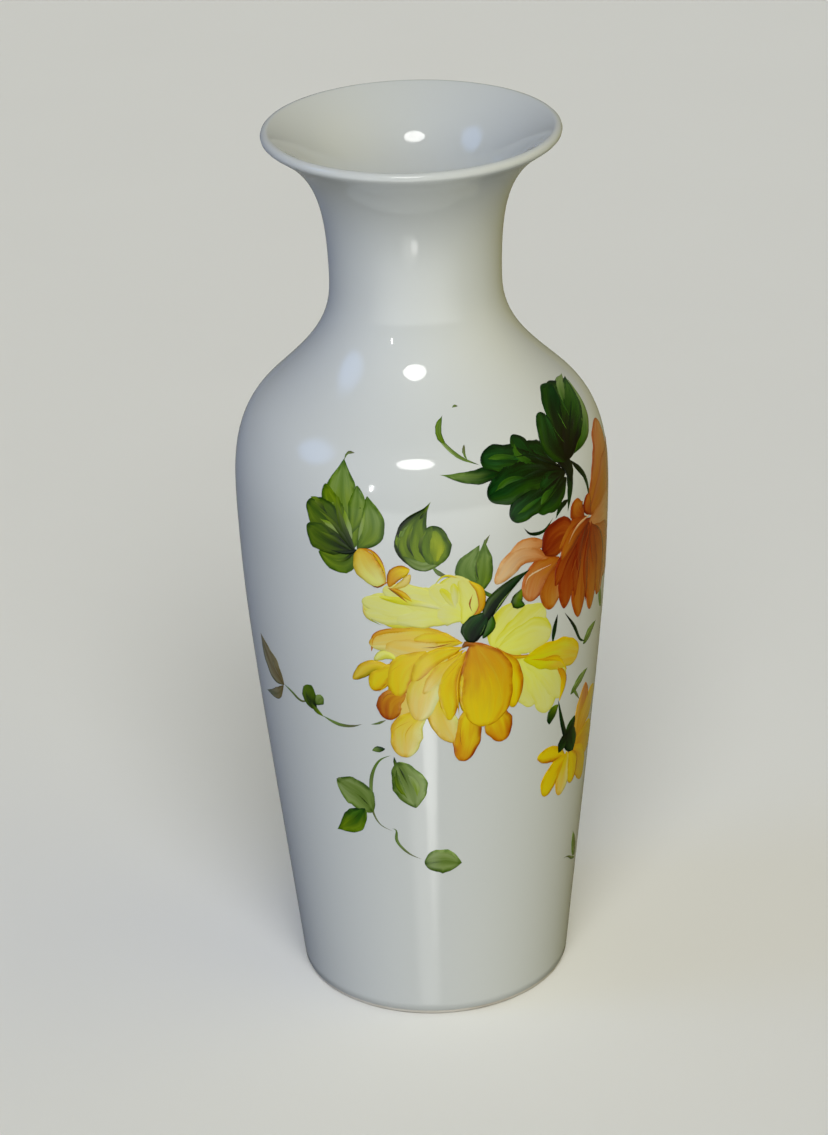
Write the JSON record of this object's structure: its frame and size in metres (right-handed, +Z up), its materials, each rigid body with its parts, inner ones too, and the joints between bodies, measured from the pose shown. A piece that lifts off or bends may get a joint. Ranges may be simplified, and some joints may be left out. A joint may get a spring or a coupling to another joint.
{
  "type": "flower vase",
  "caption": "Tall baluster flower vase in glazed white porcelain with a trumpet mouth, round shoulder, tapering body and raised enamel flowers.",
  "frame": {"origin": "centre of the foot ring, on the plane that the vase stands on", "axes": "+Z up along the vase's axis to the mouth; -Y is the front, where the large yellow flower is; +X is to the right when facing it"},
  "size_m": [0.1242, 0.1242, 0.305],
  "materials": {
    "bare_porcelain": "unglazed, fine matt, slightly warm white",
    "clear_glaze": "high gloss, cool white",
    "enamel_pale_yellow": "gloss, translucent, brushed",
    "enamel_golden": "gloss, brushed from yellow to amber",
    "enamel_peach": "gloss, translucent, brushed",
    "enamel_red_brown": "gloss, brushed",
    "enamel_dark_green": "gloss, thick",
    "enamel_leaf_green": "gloss, brushed from olive to dark green",
    "enamel_grey_green": "gloss, thin, brushed"
  },
  "bodies": {
    "root": {"porcelain_body": "bare_porcelain", "glaze_outside": "clear_glaze", "glaze_inside": "clear_glaze", "glaze_base": "clear_glaze", "peony_back_petals": "enamel_pale_yellow", "peony_front_petals": "enamel_golden", "peony_calyx": "enamel_dark_green", "bud_petals": "enamel_golden", "three_lobed_leaf": "enamel_leaf_green", "green_bud": "enamel_leaf_green", "small_pointed_leaf": "enamel_leaf_green", "red_flower_inner_petals": "enamel_red_brown", "red_flower_outer_petals": "enamel_peach", "red_flower_stems": "enamel_dark_green", "dark_leaf_cluster": "enamel_dark_green", "upright_leaf": "enamel_dark_green", "upper_tendril": "enamel_leaf_green", "left_vine_stem": "enamel_grey_green", "left_vine_leaves": "enamel_grey_green", "lower_vine_stem": "enamel_grey_green", "lower_vine_leaves": "enamel_leaf_green", "blossom_petals": "enamel_golden", "blossom_calyx": "enamel_dark_green", "side_leaves": "enamel_grey_green", "rear_sprig": "enamel_leaf_green"}
  },
  "joints": []
}
